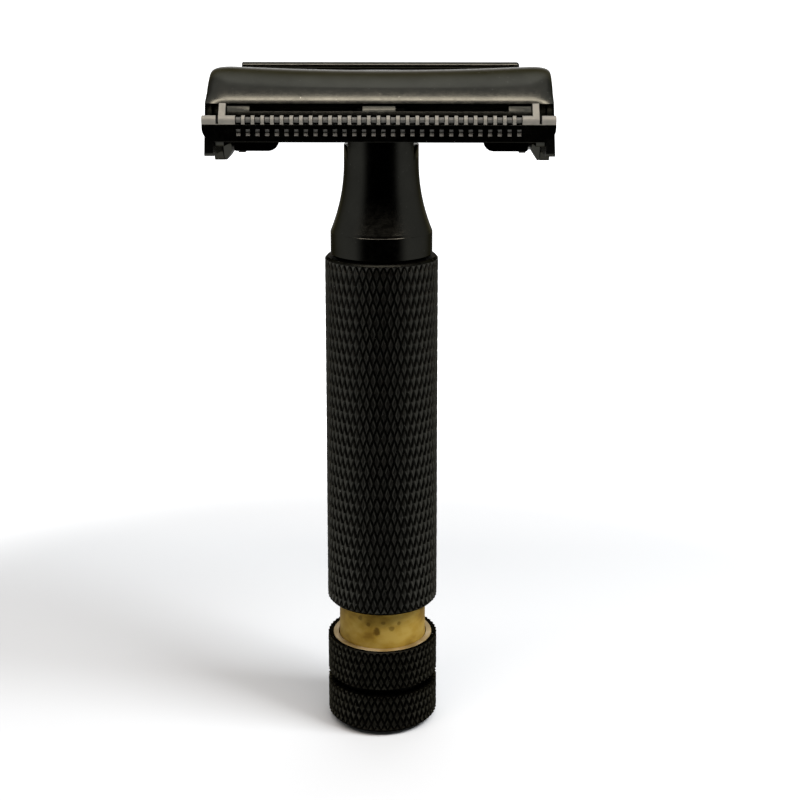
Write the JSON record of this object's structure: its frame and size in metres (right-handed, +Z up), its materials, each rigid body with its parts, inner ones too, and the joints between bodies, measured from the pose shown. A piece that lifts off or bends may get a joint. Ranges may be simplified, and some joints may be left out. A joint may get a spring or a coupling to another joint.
{
  "type": "safety razor",
  "caption": "Twist-to-open single-edge safety razor with a knurled handle, notched guard bar, folding curved cap and a turning knob on a bare brass shank, standing on its knob.",
  "frame": {"origin": "centre of the knob's flat base, on the handle's axis", "axes": "+Z up along the handle towards the head, -Y towards the edge side where the blade's edge shows, +X to the right seen from the edge side"},
  "size_m": [0.0418, 0.0197, 0.0849],
  "materials": {
    "black_coat": "semi-gloss black coating over brass, worn on edges",
    "bare_brass": "aged bare brass with dark spots",
    "inner_brass": "turned brass",
    "spring_steel": "plain steel"
  },
  "bodies": {
    "handle": {"handle_barrel": "black_coat", "neck_adapter": "black_coat", "thread_bush": "inner_brass", "guard_plate": "black_coat", "blade_bed": "black_coat", "hinge_pin_left": "black_coat", "hinge_pin_right": "black_coat"},
    "carriage": {"lift_yoke": "black_coat", "yoke_pin_left": "spring_steel", "yoke_pin_right": "spring_steel", "thrust_washer": "spring_steel"},
    "knob": {"knob": "black_coat", "knob_end_plug": "black_coat", "knob_shank": "bare_brass", "shank_collar": "bare_brass", "draw_rod": "inner_brass", "rod_nut": "inner_brass", "rod_clip": "spring_steel"},
    "cap": {"cap_shell": "black_coat", "cap_back_rail": "black_coat", "blade_spring": "spring_steel", "spring_rivet_left": "inner_brass", "spring_rivet_right": "inner_brass"}
  },
  "joints": [
    {"name": "carriage_slide", "type": "slide", "parent": "handle", "child": "carriage", "axis": [0, 0, 1], "range_m": [0, 0.0036]},
    {"name": "knob_turn", "type": "hinge", "parent": "carriage", "child": "knob", "pos_m": [0, 0, 0], "axis": [0, 0, 1], "range_deg": [0, 525]},
    {"name": "cap_hinge", "type": "hinge", "parent": "handle", "child": "cap", "pos_m": [0, 0.0065, 0.07655], "axis": [-1, 0, 0], "range_deg": [0, 62]}
  ],
  "couplings": [
    {"joint": "carriage_slide", "follows": "knob_turn", "m_per_rad": 0.00038197},
    {"joint": "cap_hinge", "follows": "knob_turn", "ratio": 0.11526}
  ]
}
